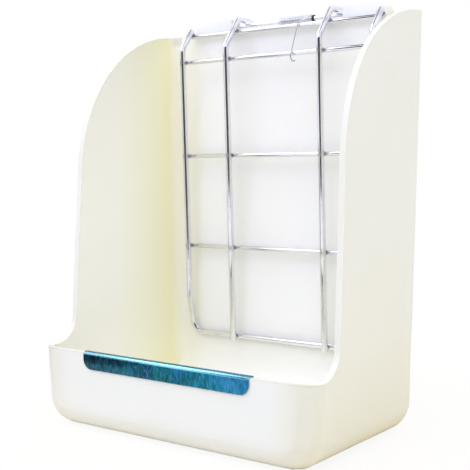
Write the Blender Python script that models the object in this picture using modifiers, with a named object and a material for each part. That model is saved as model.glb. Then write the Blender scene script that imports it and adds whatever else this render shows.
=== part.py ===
"""Hay feeder box with a sprung wire grill, for standing in or beside a small-animal cage.

A moulded box has a trough at the front, two tall wings and a back wall. A wire grill hangs by two
hooks on a rod held between two ears at the top of the back wall. A torsion spring on the rod pulls
the grill back, so that it holds the hay against the wall. A folded metal strip guards the front lip.

Metres, +Z up. The origin is the middle of the flat base. The front faces -Y.
"""
import math

import bmesh
import bpy
from mathutils import Quaternion, Vector

mm = 0.001

# Moulded box
base_depth = 112.4 * mm
rear_half_width = 81.6 * mm
box_height = 223.5 * mm
lip_height = 42.7 * mm
side_wall = 3.0 * mm
front_wall = 3.0 * mm
floor_thickness = 3.0 * mm
back_wall = 5.0 * mm
front_corner_radius = 11.0 * mm
rear_corner_radius = 5.4 * mm
bottom_radius = 13.0 * mm
inner_corner_radius = 8.0 * mm
inner_bottom_radius = 10.0 * mm
scoop_radius = 26.0 * mm
rim_round = 1.1 * mm
top_corner_round = 3.0 * mm

# How far the sides spread from the rear half width
wing_top_spread = 5.2 * mm
wing_front_flare = 6.9 * mm
wing_flare_power_share = 1.86
trough_front_flare = 5.2 * mm
trough_rear_spread = 0.6 * mm
trough_front_spread = 4.2 * mm
spread_blend_height = 18.0 * mm

# Wing outline seen from the side
wing_set_back = 28.5 * mm
wing_curve_height = 86.7 * mm
wing_curve_power_share = 2.1
wing_foot_reach = 5.3 * mm
wing_fillet_radius = 15.0 * mm

# Ears that hold the hinge rod
ear_beside_hook = 6.3 * mm
ear_beyond_frame = 1.2 * mm
ear_root = 6.0 * mm
ear_top_wall = 3.3 * mm
ear_back_wall = 1.7 * mm
ear_outer_radius = 9.0 * mm
ear_inner_radius = 2.0 * mm
ear_set_back = 0.2 * mm

# Hinge rod, pushed in through the left ear
rod_diameter = 2.4 * mm
rod_behind_back = 1.0 * mm
rod_above_box = 3.5 * mm
rod_end_wall = 3.0 * mm
rod_end_recess = 0.6 * mm
rod_clearance = 0.3 * mm

# Grill wires
upright_diameter = 3.6 * mm
cross_diameter = 2.8 * mm
seat_gap = 0.3 * mm
grill_side_gap = 15.8 * mm
inner_upright_share = 0.4924
cross_overhang = 1.2 * mm
bottom_wire_below_lip = 2.1 * mm
lower_cross_share = 0.324
middle_cross_share = 0.657
upper_cross_below_shoulder = 7.6 * mm
inner_tail_below = 2.4 * mm
bottom_corner_radius = 6.5 * mm
bottom_step_height = 22.0 * mm
bottom_step_radius = 12.0 * mm
grill_lean_span = 13.2 * mm

# Shoulder and hooks of the upright wires
shoulder_below_top = 9.9 * mm
shoulder_radius = 8.0 * mm
shoulder_slope = math.radians(36.6)
outer_tip_rise = 12.4 * mm
top_cross_rise = 10.9 * mm
knee_radius = 3.2 * mm
hook_slope = math.radians(3.5)
hook_crest_behind_rod = 3.5 * mm
hook_radius = 8.4 * mm
hook_tail_slope = math.radians(30)
hook_tail_length = 8.0 * mm

# Torsion spring and its stop ring
spring_wire = 0.7 * mm
spring_rod_clearance = 0.7 * mm
spring_turns = 19
spring_pitch = 1.14 * mm
spring_right_end = 15.0 * mm
spring_bend_shift = -2.6 * mm
spring_hook_shift = -2.1 * mm
spring_leg_lead = 2.5 * mm
spring_lead_radius = 4.0 * mm
spring_hook_radius = 2.7 * mm
spring_hook_below_cross = 1.6 * mm
spring_hook_end_degrees = 305
rear_leg_drop = 21.4 * mm
ring_length = 1.2 * mm
ring_outer_diameter = 3.9 * mm
ring_clearance = 0.3 * mm

# Chew guard on the front lip
guard_length = 110.0 * mm
guard_thickness = 0.5 * mm
guard_front_drop = 9.4 * mm
guard_rear_drop = 6.0 * mm
guard_corner_radius = 5.5 * mm
guard_fold_radius = 1.6 * mm
guard_gap = 0.3 * mm

# Working values shared by cuts and curves
overrun = 5.0 * mm
weld_distance = 0.02 * mm
sharp_angle = math.radians(50)
arc_steps = 6
wing_curve_steps = 14
depth_slices = 7
height_slices = 12
rod_sides = 24
wire_bevel_steps = 4
spring_steps = 10

# Places worked out from the sizes above
rear_y = base_depth / 2
front_y = -base_depth / 2
wall_face_y = rear_y - back_wall
wing_depth = base_depth - wing_set_back
outer_upright_x = rear_half_width - grill_side_gap
inner_upright_x = outer_upright_x * inner_upright_share
ear_inner_edge = inner_upright_x + ear_beside_hook
ear_outer_edge = outer_upright_x + ear_beyond_frame
rod_y = rear_y + rod_behind_back
rod_z = box_height + rod_above_box
rod_r = rod_diameter / 2
bore_r = rod_r + rod_clearance
upright_r = upright_diameter / 2
cross_r = cross_diameter / 2
bottom_wire_y = wall_face_y - seat_gap - upright_r
bottom_wire_height = lip_height - bottom_wire_below_lip
shoulder_height = box_height - shoulder_below_top
upper_cross_height = shoulder_height - upper_cross_below_shoulder
mesh_height = upper_cross_height - bottom_wire_height
middle_cross_height = bottom_wire_height + mesh_height * middle_cross_share
lower_cross_height = bottom_wire_height + mesh_height * lower_cross_share
inner_foot_y = bottom_wire_y - upright_diameter - seat_gap
cross_offset = upright_r + cross_r + seat_gap
grill_front_y = wall_face_y - grill_lean_span
grill_lean = (inner_foot_y - grill_front_y) / mesh_height
slope_y = math.sin(shoulder_slope)
slope_z = math.cos(shoulder_slope)
spring_r = spring_wire / 2
coil_r = rod_r + spring_rod_clearance + spring_r
coil_climb = spring_pitch / (2 * math.pi * coil_r)


def clear_scene():
    for obj in list(bpy.data.objects):
        bpy.data.objects.remove(obj, do_unlink=True)


def make_collection(name):
    collection = bpy.data.collections.new(name)
    bpy.context.scene.collection.children.link(collection)
    return collection


def make_material(name, colour, roughness, metallic):
    material = bpy.data.materials.new(name)
    material.use_nodes = True
    shader = material.node_tree.nodes["Principled BSDF"]
    shader.inputs["Base Color"].default_value = (*colour, 1.0)
    shader.inputs["Roughness"].default_value = roughness
    shader.inputs["Metallic"].default_value = metallic
    return material


def add_object(name, data, collection, material=None):
    obj = bpy.data.objects.new(name, data)
    collection.objects.link(obj)
    if material:
        data.materials.clear()
        data.materials.append(material)
    return obj


def add_boolean(obj, cutter, operation):
    modifier = obj.modifiers.new(cutter.name, "BOOLEAN")
    modifier.operation = operation
    modifier.solver = "EXACT"
    modifier.object = cutter
    cutter.hide_render = True
    cutter.display_type = "WIRE"


def evaluated_mesh(obj):
    bpy.context.view_layer.update()
    graph = bpy.context.evaluated_depsgraph_get()
    return bpy.data.meshes.new_from_object(obj.evaluated_get(graph), depsgraph=graph)


def bake_modifiers(obj):
    mesh = evaluated_mesh(obj)
    obj.modifiers.clear()
    obj.data = mesh


def shade_round(obj):
    obj.data.shade_smooth()
    obj.data.set_sharp_from_angle(angle=math.radians(35))


def arc(centre, radius, start_degrees, end_degrees):
    """Points of a flat arc, both ends included."""
    points = []
    for step in range(arc_steps + 1):
        angle = math.radians(start_degrees + (end_degrees - start_degrees) * step / arc_steps)
        points.append((centre[0] + radius * math.cos(angle), centre[1] + radius * math.sin(angle)))
    return points


def filleted(corners, radii):
    """The corner points joined by straight runs, with an arc at each inner corner."""
    path = [corners[0]]
    for before, corner, after, radius in zip(corners, corners[1:], corners[2:], radii):
        to_before = (before - corner).normalized()
        to_after = (after - corner).normalized()
        half_angle = to_before.angle(to_after) / 2
        centre = corner + (to_before + to_after).normalized() * radius / math.sin(half_angle)
        spoke = corner + to_before * radius / math.tan(half_angle) - centre
        turn = math.pi - 2 * half_angle
        axis = to_after.cross(to_before)
        for step in range(arc_steps + 1):
            path.append(centre + Quaternion(axis, turn * step / arc_steps) @ spoke)
    path.append(corners[-1])
    return path


def plate(name, outline, thickness):
    """A flat plate of the given outline, made a mesh so that it can cut or be cut."""
    curve = bpy.data.curves.new(name, "CURVE")
    curve.dimensions = "2D"
    curve.fill_mode = "BOTH"
    curve.extrude = thickness / 2
    spline = curve.splines.new("POLY")
    spline.points.add(len(outline) - 1)
    for point, (across, along) in zip(spline.points, outline):
        point.co = (across, along, 0, 1)
    spline.use_cyclic_u = True
    drawn = add_object(name, curve, cutters)
    mesh = evaluated_mesh(drawn)
    bpy.data.objects.remove(drawn)
    bm = bmesh.new()
    bm.from_mesh(mesh)
    bmesh.ops.remove_doubles(bm, verts=bm.verts, dist=weld_distance)
    bmesh.ops.recalc_face_normals(bm, faces=bm.faces)
    bm.to_mesh(mesh)
    bm.free()
    return add_object(name, mesh, cutters)


def side_plate(name, outline, width):
    """A plate whose outline lies in world Y and Z, centred on X."""
    shape = plate(name, outline, width)
    shape.rotation_euler = (math.pi / 2, 0, math.pi / 2)
    return shape


def front_plate(name, outline, near_y, far_y):
    """A plate whose outline lies in world X and Z, from one Y to another."""
    shape = plate(name, outline, far_y - near_y)
    shape.rotation_euler = (math.pi / 2, 0, 0)
    shape.location.y = (near_y + far_y) / 2
    return shape


def cylinder_along_x(name, radius, low_x, high_x, collection, material=None):
    mesh = bpy.data.meshes.new(name)
    bm = bmesh.new()
    bmesh.ops.create_cone(bm, cap_ends=True, segments=rod_sides, radius1=radius, radius2=radius,
                          depth=high_x - low_x)
    bm.to_mesh(mesh)
    bm.free()
    obj = add_object(name, mesh, collection, material)
    obj.rotation_euler.y = math.pi / 2
    obj.location.x = (low_x + high_x) / 2
    shade_round(obj)
    return obj


def rounded_block(name, low, high, front_radius, rear_radius, bottom, rear_bottom):
    """A block with upright corners and bottom edges of their own radii, and a plain top."""
    middle = (low + high) / 2
    mesh = bpy.data.meshes.new(name)
    bm = bmesh.new()
    bmesh.ops.create_cube(bm, size=1)
    bmesh.ops.scale(bm, vec=high - low, verts=bm.verts)
    bmesh.ops.translate(bm, vec=middle, verts=bm.verts)
    weight = bm.edges.layers.float.new("bevel_weight_edge")
    widest = max(front_radius, rear_radius, bottom, rear_bottom)
    for edge in bm.edges:
        place = (edge.verts[0].co + edge.verts[1].co) / 2 - middle
        if abs(place.z) < weld_distance:
            edge[weight] = (front_radius if place.y < 0 else rear_radius) / widest
        elif place.z < 0:
            edge[weight] = (rear_bottom if place.y > weld_distance else bottom) / widest
    bm.to_mesh(mesh)
    bm.free()
    block = add_object(name, mesh, cutters)
    bevel = block.modifiers.new("edges", "BEVEL")
    bevel.limit_method = "WEIGHT"
    bevel.width = widest
    bevel.segments = arc_steps
    return block


def wing_outline():
    """The part of the box cut away above the lip and in front of the wings."""
    lip_y = front_y - overrun
    shoulder_y = rear_y - wing_depth
    curve_foot = box_height - wing_curve_height
    foot = Vector((shoulder_y - wing_foot_reach, lip_height, 0))
    corners = [Vector((lip_y, lip_height, 0)), foot, Vector((shoulder_y, curve_foot, 0))]
    outline = [(point.x, point.y) for point in filleted(corners, [wing_fillet_radius])]
    for step in range(1, wing_curve_steps):
        angle = math.pi / 2 * step / wing_curve_steps
        along = wing_depth * math.cos(angle) ** (2 / wing_curve_power_share)
        up = wing_curve_height * math.sin(angle) ** (2 / wing_curve_power_share)
        outline.append((rear_y - along, curve_foot + up))
    corner_centre = (rear_y - top_corner_round, box_height - top_corner_round)
    outline += arc(corner_centre, top_corner_round, 90, 0)
    outline.append((rear_y + overrun, box_height - top_corner_round))
    outline.append((rear_y + overrun, box_height + overrun))
    outline.append((lip_y, box_height + overrun))
    return outline


def side_spread(y, z):
    """How far the side of the box at a place lies outside its rear half width."""
    reach = rear_y - y
    rise = z / box_height
    flare = wing_front_flare * (1 - rise ** wing_flare_power_share)
    wing = wing_top_spread * rise + flare * reach / wing_depth
    lean = trough_rear_spread + (trough_front_spread - trough_rear_spread) * reach / base_depth
    trough = lean * z / lip_height + trough_front_flare * reach / base_depth
    blend = min(max((z - lip_height) / spread_blend_height, 0), 1)
    blend = blend ** 2 * (3 - 2 * blend)
    return trough + (wing - trough) * blend


def slice_mesh(bm, axis, low, high, count):
    for step in range(1, count):
        place = Vector((0, 0, 0))
        place[axis] = low + (high - low) * step / count
        normal = Vector((0, 0, 0))
        normal[axis] = 1
        everything = bm.verts[:] + bm.edges[:] + bm.faces[:]
        bmesh.ops.bisect_plane(bm, geom=everything, dist=weld_distance, plane_co=place,
                               plane_no=normal)


def spread_and_round(mesh):
    """Spread the sides of the plain box, then round the rims of its walls."""
    bm = bmesh.new()
    bm.from_mesh(mesh)
    bmesh.ops.remove_doubles(bm, verts=bm.verts, dist=weld_distance)
    rims = [edge for edge in bm.edges if edge.calc_face_angle_signed(0) > sharp_angle]
    bmesh.ops.bevel(bm, geom=rims, offset=rim_round, offset_type="OFFSET", segments=2,
                    profile=0.5, affect="EDGES", material=-1, clamp_overlap=True)
    slice_mesh(bm, 1, front_y, rear_y, depth_slices)
    slice_mesh(bm, 2, 0, box_height, height_slices)
    bmesh.ops.remove_doubles(bm, verts=bm.verts, dist=weld_distance)
    for vertex in bm.verts:
        vertex.co.x *= 1 + side_spread(vertex.co.y, vertex.co.z) / rear_half_width
    bm.to_mesh(mesh)
    bm.free()


def make_ear(name, side):
    low_z = box_height - ear_root
    high_z = rod_z + bore_r + ear_top_wall
    back_y = rod_y + bore_r + ear_back_wall
    inner_centre = (ear_inner_edge + ear_inner_radius, high_z - ear_inner_radius)
    outer_centre = (ear_outer_edge - ear_outer_radius, high_z - ear_outer_radius)
    outline = [(ear_outer_edge, low_z)]
    outline += arc(outer_centre, ear_outer_radius, 0, 90)
    outline += arc(inner_centre, ear_inner_radius, 90, 180)
    outline.append((ear_inner_edge, low_z))
    outline = [(side * across, up) for across, up in outline]
    return front_plate(name, outline, wall_face_y + ear_set_back, back_y)


def make_feeder_box(material):
    outer = rounded_block("outer_block", Vector((-rear_half_width, front_y, 0)),
                          Vector((rear_half_width, rear_y, box_height)),
                          front_corner_radius, rear_corner_radius, bottom_radius, bottom_radius)
    inner_half_width = rear_half_width - side_wall
    inner = rounded_block("inner_block",
                          Vector((-inner_half_width, front_y + front_wall, floor_thickness)),
                          Vector((inner_half_width, wall_face_y, box_height + overrun)),
                          inner_corner_radius, inner_corner_radius, inner_bottom_radius,
                          scoop_radius)
    above = side_plate("above_wings", wing_outline(), 2 * (rear_half_width + overrun))
    box = add_object("feeder_box", evaluated_mesh(outer), parts, material)
    bpy.data.objects.remove(outer)
    add_boolean(box, inner, "DIFFERENCE")
    add_boolean(box, above, "DIFFERENCE")
    bake_modifiers(box)
    spread_and_round(box.data)
    add_boolean(box, make_ear("ear_left", -1), "UNION")
    add_boolean(box, make_ear("ear_right", 1), "UNION")
    bore = cylinder_along_x("rod_bore", bore_r, -ear_outer_edge - overrun,
                            ear_outer_edge - rod_end_wall, cutters)
    bore.location.y = rod_y
    bore.location.z = rod_z
    add_boolean(box, bore, "DIFFERENCE")
    weld = box.modifiers.new("weld", "WELD")
    weld.merge_threshold = weld_distance
    shade_round(box)
    return box


def make_chew_guard(material):
    inner_front = front_y - guard_gap
    inner_back = front_y + front_wall + guard_gap
    inner_top = lip_height + guard_gap
    outer_front = inner_front - guard_thickness
    outer_back = inner_back + guard_thickness
    outer_top = inner_top + guard_thickness
    front_foot = outer_top - guard_front_drop
    front_end = front_foot - overrun
    back_foot = outer_top - guard_rear_drop
    inner_fold = guard_fold_radius - guard_thickness
    outer_fold_z = outer_top - guard_fold_radius
    inner_fold_z = inner_top - inner_fold
    outline = [(outer_front, front_end)]
    outline += arc((outer_front + guard_fold_radius, outer_fold_z), guard_fold_radius, 180, 90)
    outline += arc((outer_back - guard_fold_radius, outer_fold_z), guard_fold_radius, 90, 0)
    outline.append((outer_back, back_foot))
    outline.append((inner_back, back_foot))
    outline += arc((inner_back - inner_fold, inner_fold_z), inner_fold, 0, 90)
    outline += arc((inner_front + inner_fold, inner_fold_z), inner_fold, 90, 180)
    outline.append((inner_front, front_end))
    strip = side_plate("folded_strip", outline, guard_length)
    strip_mesh = strip.data
    strip_turn = strip.rotation_euler.copy()
    bpy.data.objects.remove(strip)
    guard = add_object("chew_guard", strip_mesh, parts, material)
    guard.rotation_euler = strip_turn
    edge_x = guard_length / 2
    corner_x = edge_x - guard_corner_radius
    corner_z = front_foot + guard_corner_radius
    trim = [(edge_x + overrun, outer_top + overrun), (-edge_x - overrun, outer_top + overrun)]
    trim += [(-edge_x - overrun, corner_z), (-edge_x, corner_z)]
    trim += arc((-corner_x, corner_z), guard_corner_radius, 180, 270)[1:]
    trim += arc((corner_x, corner_z), guard_corner_radius, 270, 360)[:-1]
    trim += [(edge_x, corner_z), (edge_x + overrun, corner_z)]
    corners = front_plate("guard_corners", trim, outer_front - overrun, outer_back + overrun)
    add_boolean(guard, corners, "INTERSECT")
    shade_round(guard)
    return guard


def make_hinge_rod(material):
    rod = cylinder_along_x("hinge_rod", rod_r, rod_end_recess - ear_outer_edge,
                           ear_outer_edge - rod_end_wall - rod_clearance, parts, material)
    rod.location.y = rod_y
    rod.location.z = rod_z
    return rod


def make_stop_ring(material):
    """A turned ring, its profile drawn once and swept round the rod."""
    inner_r = rod_r + ring_clearance
    outer_r = ring_outer_diameter / 2
    half = ring_length / 2
    chamfer = (outer_r - inner_r) / 4
    profile = [(inner_r, half), (outer_r - chamfer, half), (outer_r, half - chamfer)]
    profile += [(outer_r, chamfer - half), (outer_r - chamfer, -half), (inner_r, -half)]
    mesh = bpy.data.meshes.new("spring_stop_ring")
    bm = bmesh.new()
    corners = [bm.verts.new((radius, 0, along)) for radius, along in profile]
    for first, second in zip(corners, corners[1:] + corners[:1]):
        bm.edges.new((first, second))
    bm.to_mesh(mesh)
    bm.free()
    ring = add_object("spring_stop_ring", mesh, parts, material)
    screw = ring.modifiers.new("turned", "SCREW")
    screw.steps = rod_sides
    screw.render_steps = rod_sides
    screw.use_merge_vertices = True
    screw.merge_threshold = weld_distance
    ring.rotation_euler.y = math.pi / 2
    ring.location = (spring_right_end + spring_wire + half, rod_y, rod_z)
    return ring


def wire(name, points, diameter, bevel_resolution, material):
    curve = bpy.data.curves.new(name, "CURVE")
    curve.dimensions = "3D"
    curve.bevel_depth = diameter / 2
    curve.bevel_resolution = bevel_resolution
    curve.use_fill_caps = True
    spline = curve.splines.new("POLY")
    spline.points.add(len(points) - 1)
    for point, place in zip(spline.points, points):
        point.co = (*place, 1)
    return add_object(name, curve, parts, material)


def least_self_gap(points, diameter):
    """The smallest clear gap between turns, measured on points over half a turn apart."""
    apart = spring_steps * 2 // 3
    nearest = min((points[first] - points[second]).length
                  for first in range(len(points))
                  for second in range(first + apart, len(points)))
    return nearest - diameter


def upright_y(z):
    return grill_front_y + grill_lean * (upper_cross_height - z)


def slope_point(rise):
    """A place on the sloping top of the uprights, by its rise above the shoulder."""
    return (upright_y(shoulder_height) + rise * slope_y / slope_z, shoulder_height + rise)


def top_cross_place():
    y, z = slope_point(top_cross_rise)
    return y + cross_offset * slope_z, z - cross_offset * slope_y


def make_torsion_spring(material):
    """Rear leg, coil, front leg and hook as one unbroken wire.

    The front leg goes over the top cross wire, down in front of it, and hooks under the next.
    """
    wrap_r = cross_r + seat_gap + spring_r
    top_y, top_z = top_cross_place()
    ahead = rod_y - top_y
    below = rod_z - top_z
    drop = math.atan2(below, ahead) + math.asin((coil_r - wrap_r) / math.hypot(ahead, below))
    foot_y = rear_y + seat_gap + spring_r - rod_y
    foot_reach = math.hypot(foot_y, rear_leg_drop)
    first_angle = math.atan2(-rear_leg_drop, foot_y) + math.acos(coil_r / foot_reach)
    last_angle = math.pi / 2 + drop + 2 * math.pi * spring_turns
    turning = last_angle - first_angle
    left_end = spring_right_end - spring_pitch * turning / (2 * math.pi)
    steps = round(spring_steps * turning / (2 * math.pi))
    points = [Vector((left_end, rod_y + foot_y, rod_z - rear_leg_drop))]
    for step in range(steps + 1):
        angle = first_angle + turning * step / steps
        x = left_end + (spring_right_end - left_end) * step / steps
        points.append(Vector((x, rod_y + coil_r * math.cos(angle),
                              rod_z + coil_r * math.sin(angle))))
    bend_x = spring_right_end + spring_bend_shift
    hook_x = spring_right_end + spring_hook_shift
    cross = Vector((hook_x, upright_y(upper_cross_height) + cross_offset, upper_cross_height))
    slope = math.atan2(top_y - cross.y, top_z - cross.z)
    along = Vector((0, math.sin(slope), math.cos(slope)))
    across = Vector((0, math.cos(slope), -math.sin(slope)))
    touch = cross - across * wrap_r
    hook_start = touch - along * spring_hook_below_cross
    hook_centre = hook_start + across * spring_hook_radius
    coil_end = points[-1]
    lead_end = coil_end + Vector((coil_climb, -math.cos(drop), -math.sin(drop))) * spring_leg_lead
    square = Vector((0, -math.sin(drop), math.cos(drop)))
    bend = touch + along * (coil_end - touch).dot(square) / along.dot(square)
    bend.x = bend_x
    leg = filleted([coil_end, lead_end, bend, hook_start], [spring_lead_radius, wrap_r])
    points += leg[1:-1]
    hook = arc(hook_centre.yz, spring_hook_radius, 180 - math.degrees(slope),
               spring_hook_end_degrees)
    points += [Vector((hook_x, y, z)) for y, z in hook]
    print("least gap of the torsion spring to itself, mm:",
          round(least_self_gap(points, spring_wire) / mm, 3))
    return wire("torsion_spring", points, spring_wire, 1, material)


def frame_wire_half(side):
    """One side of the outer wire, from its tip down to the middle of the bottom."""
    x = side * outer_upright_x
    tip_y, tip_z = slope_point(outer_tip_rise)
    step_z = bottom_wire_height + bottom_step_height
    corners = [
        Vector((x, tip_y, tip_z)),
        Vector((x, upright_y(shoulder_height), shoulder_height)),
        Vector((x, upright_y(step_z), step_z)),
        Vector((x, bottom_wire_y, bottom_wire_height)),
        Vector((0, bottom_wire_y, bottom_wire_height)),
    ]
    return filleted(corners, [shoulder_radius, bottom_step_radius, bottom_corner_radius])


def make_frame_wire(material):
    left = frame_wire_half(-1)
    right = frame_wire_half(1)
    return wire("frame_wire", left + right[-2::-1], upright_diameter, wire_bevel_steps, material)


def hook_corners(x):
    """Tail end, crest and knee of a hook that lies on the hinge rod."""
    reach = rod_r + upright_r + seat_gap
    over = Vector((0, math.cos(hook_slope), math.sin(hook_slope)))
    touch = Vector((x, rod_y - over.z * reach, rod_z + over.y * reach))
    to_slope = Vector((x, upright_y(shoulder_height), shoulder_height)) - touch
    turn = over.y * slope_z - over.z * slope_y
    knee = touch + over * (to_slope.y * slope_z - to_slope.z * slope_y) / turn
    crest = touch + over * hook_crest_behind_rod
    tail = Vector((0, math.cos(hook_tail_slope), -math.sin(hook_tail_slope)))
    return [crest + tail * hook_tail_length, crest, knee]


def make_inner_wire(name, side, material):
    x = side * inner_upright_x
    foot_z = bottom_wire_height - inner_tail_below
    corners = hook_corners(x)
    corners.append(Vector((x, upright_y(shoulder_height), shoulder_height)))
    corners.append(Vector((x, upright_y(foot_z), foot_z)))
    path = filleted(corners, [hook_radius, knee_radius, shoulder_radius])
    return wire(name, path, upright_diameter, wire_bevel_steps, material)


def make_cross_wire(name, y, z, material):
    reach = outer_upright_x + cross_overhang
    cross = cylinder_along_x(name, cross_r, -reach, reach, parts, material)
    cross.location.y = y
    cross.location.z = z
    return cross


def make_grill(material):
    grill = [make_frame_wire(material)]
    grill.append(make_inner_wire("inner_wire_left", -1, material))
    grill.append(make_inner_wire("inner_wire_right", 1, material))
    grill.append(make_cross_wire("cross_wire_top", *top_cross_place(), material))
    heights = {"upper": upper_cross_height, "middle": middle_cross_height,
               "lower": lower_cross_height}
    for name, z in heights.items():
        y = upright_y(z) + cross_offset
        grill.append(make_cross_wire("cross_wire_" + name, y, z, material))
    return grill


def hang_on_hinge(pieces):
    """Parent the moving pieces to an empty on the hinge rod, without moving them."""
    hinge = add_object("grill_hinge", None, parts)
    hinge.location = (0, rod_y, rod_z)
    bpy.context.view_layer.update()
    for piece in pieces:
        piece.parent = hinge
        piece.matrix_parent_inverse = hinge.matrix_world.inverted()


clear_scene()
parts = make_collection("hay_feeder_box")
cutters = make_collection("cutters")
plastic = make_material("ivory_plastic", (0.86, 0.84, 0.76), 0.35, 0.0)
plated = make_material("plated_wire", (0.72, 0.72, 0.76), 0.12, 1.0)
spring_steel = make_material("spring_steel", (0.62, 0.63, 0.66), 0.25, 1.0)
rubber = make_material("black_rubber", (0.02, 0.02, 0.02), 0.6, 0.0)
blue_metal = make_material("blue_sheet_metal", (0.02, 0.22, 0.42), 0.3, 0.8)

make_feeder_box(plastic)
make_chew_guard(blue_metal)
make_hinge_rod(plated)
make_stop_ring(rubber)
make_torsion_spring(spring_steel)
hang_on_hinge(make_grill(plated))
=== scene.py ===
import math

import bmesh
import bpy
from mathutils import Matrix, Quaternion, Vector, noise


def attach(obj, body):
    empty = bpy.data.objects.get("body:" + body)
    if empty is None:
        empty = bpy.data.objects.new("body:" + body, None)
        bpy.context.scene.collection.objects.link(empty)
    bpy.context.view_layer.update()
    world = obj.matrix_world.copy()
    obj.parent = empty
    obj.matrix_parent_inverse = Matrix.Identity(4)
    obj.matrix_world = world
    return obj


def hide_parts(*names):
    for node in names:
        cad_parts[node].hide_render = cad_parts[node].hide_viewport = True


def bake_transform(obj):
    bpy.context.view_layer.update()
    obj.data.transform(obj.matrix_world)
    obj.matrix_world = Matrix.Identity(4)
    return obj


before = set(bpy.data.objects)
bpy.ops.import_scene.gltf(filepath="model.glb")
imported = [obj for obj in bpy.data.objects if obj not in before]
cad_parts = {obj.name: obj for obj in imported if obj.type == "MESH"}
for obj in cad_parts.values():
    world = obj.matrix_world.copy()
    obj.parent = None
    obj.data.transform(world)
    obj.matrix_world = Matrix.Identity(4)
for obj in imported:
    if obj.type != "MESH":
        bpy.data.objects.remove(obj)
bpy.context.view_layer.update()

mm = 0.001

# Moulded box
base_depth = 112.4 * mm
rear_half_width = 81.6 * mm
box_height = 223.5 * mm
lip_height = 42.7 * mm
side_wall = 3.0 * mm
front_wall = 3.0 * mm
floor_thickness = 3.0 * mm
back_wall = 5.0 * mm
front_corner_radius = 11.0 * mm
rear_corner_radius = 5.4 * mm
bottom_radius = 13.0 * mm
inner_corner_radius = 8.0 * mm
inner_bottom_radius = 10.0 * mm
scoop_radius = 26.0 * mm
rim_round = 1.1 * mm
top_corner_round = 3.0 * mm
wing_top_spread = 5.2 * mm
wing_front_flare = 6.9 * mm
wing_flare_power = 1.86
trough_front_flare = 5.2 * mm
trough_rear_spread = 0.6 * mm
trough_front_spread = 4.2 * mm
spread_blend_height = 18.0 * mm
wing_depth = 83.9 * mm
wing_curve_height = 86.7 * mm
wing_curve_power = 2.1
wing_foot_reach = 5.3 * mm
wing_fillet_radius = 15.0 * mm
wing_curve_margin = 2.0 * mm
wing_curve_steps = 48
block_edge_steps = 14
slices_deep = 24
slices_high = 44
overrun = 5.0 * mm
weld_distance = 0.01 * mm

# Grill, rod and ears
rod_r = 1.2 * mm
bore_r = 1.5 * mm
upright_r = 1.8 * mm
cross_r = 1.4 * mm
seat_gap = 0.3 * mm
outer_upright_x = 65.8 * mm
inner_upright_share = 0.4924
cross_overhang = 1.2 * mm
ear_beside_inner_wire = 6.3 * mm
ear_past_outer_wire = 1.2 * mm
ear_set_in = 0.2 * mm
ear_root_margin = 0.5 * mm
ear_root = 6.0 * mm
ear_top_wall = 3.3 * mm
ear_back_wall = 1.7 * mm
ear_outer_radius = 9.0 * mm
ear_inner_radius = 2.0 * mm
ear_edge_round = 0.7 * mm
bore_end_wall = 3.0 * mm
rod_behind_wall = 1.0 * mm
rod_above_wall = 3.5 * mm
rod_set_in = 0.6 * mm
rod_end_wall = 3.3 * mm
rod_end_round = 0.3 * mm
bar_end_round = 0.35 * mm
wire_end_round = 0.4 * mm
round_sides = 40
bottom_wire_drop = 2.1 * mm
shoulder_drop = 9.9 * mm
upper_cross_drop = 7.6 * mm
middle_cross_share = 0.657
lower_cross_share = 0.324
grill_reach = 13.2 * mm
bottom_corner_radius = 6.5 * mm
bottom_step_height = 22.0 * mm
bottom_step_radius = 12.0 * mm
inner_tail_below = 2.4 * mm
shoulder_radius = 8.0 * mm
shoulder_slope = math.radians(36.6)
outer_tip_rise = 12.4 * mm
top_cross_rise = 10.9 * mm
knee_radius = 3.2 * mm
hook_slope = math.radians(3.5)
hook_crest_behind_rod = 3.5 * mm
hook_radius = 8.4 * mm
hook_tail_slope = math.radians(30)
hook_tail_length = 8.0 * mm
weld_half_size_mm = (1.9, 0.9, 1.5)
weld_unevenness = 0.16
weld_lump_scale = 1.7
weld_lump_spread = 900

# Torsion spring and stop ring
spring_r = 0.35 * mm
coil_clearance = 0.7 * mm
coil_r = rod_r + coil_clearance + spring_r
spring_turns = 19
spring_steps_per_turn = 28
spring_pitch = 1.14 * mm
spring_right_end = 15.0 * mm
spring_bend_shift = -2.6 * mm
spring_hook_shift = -2.1 * mm
spring_leg_lead = 2.5 * mm
spring_lead_radius = 4.0 * mm
spring_hook_radius = 2.7 * mm
spring_hook_below_cross = 1.6 * mm
spring_hook_end_degrees = 305
spring_hook_steps = 22
spring_end_round = 0.1 * mm
rear_leg_drop = 21.4 * mm
ring_length = 1.2 * mm
ring_outer_r = 1.95 * mm
ring_clearance = 0.3 * mm
ring_edge_round = 0.22 * mm
ring_steps = 48

# Chew guard
guard_length = 110.0 * mm
guard_thickness = 0.5 * mm
guard_front_drop = 9.4 * mm
guard_rear_drop = 6.0 * mm
guard_corner_radius = 5.5 * mm
guard_fold_radius = 1.6 * mm
guard_edge_round = 0.11 * mm
guard_fold_steps = 10
guard_corner_steps = 12
guard_gap = 0.3 * mm

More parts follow.
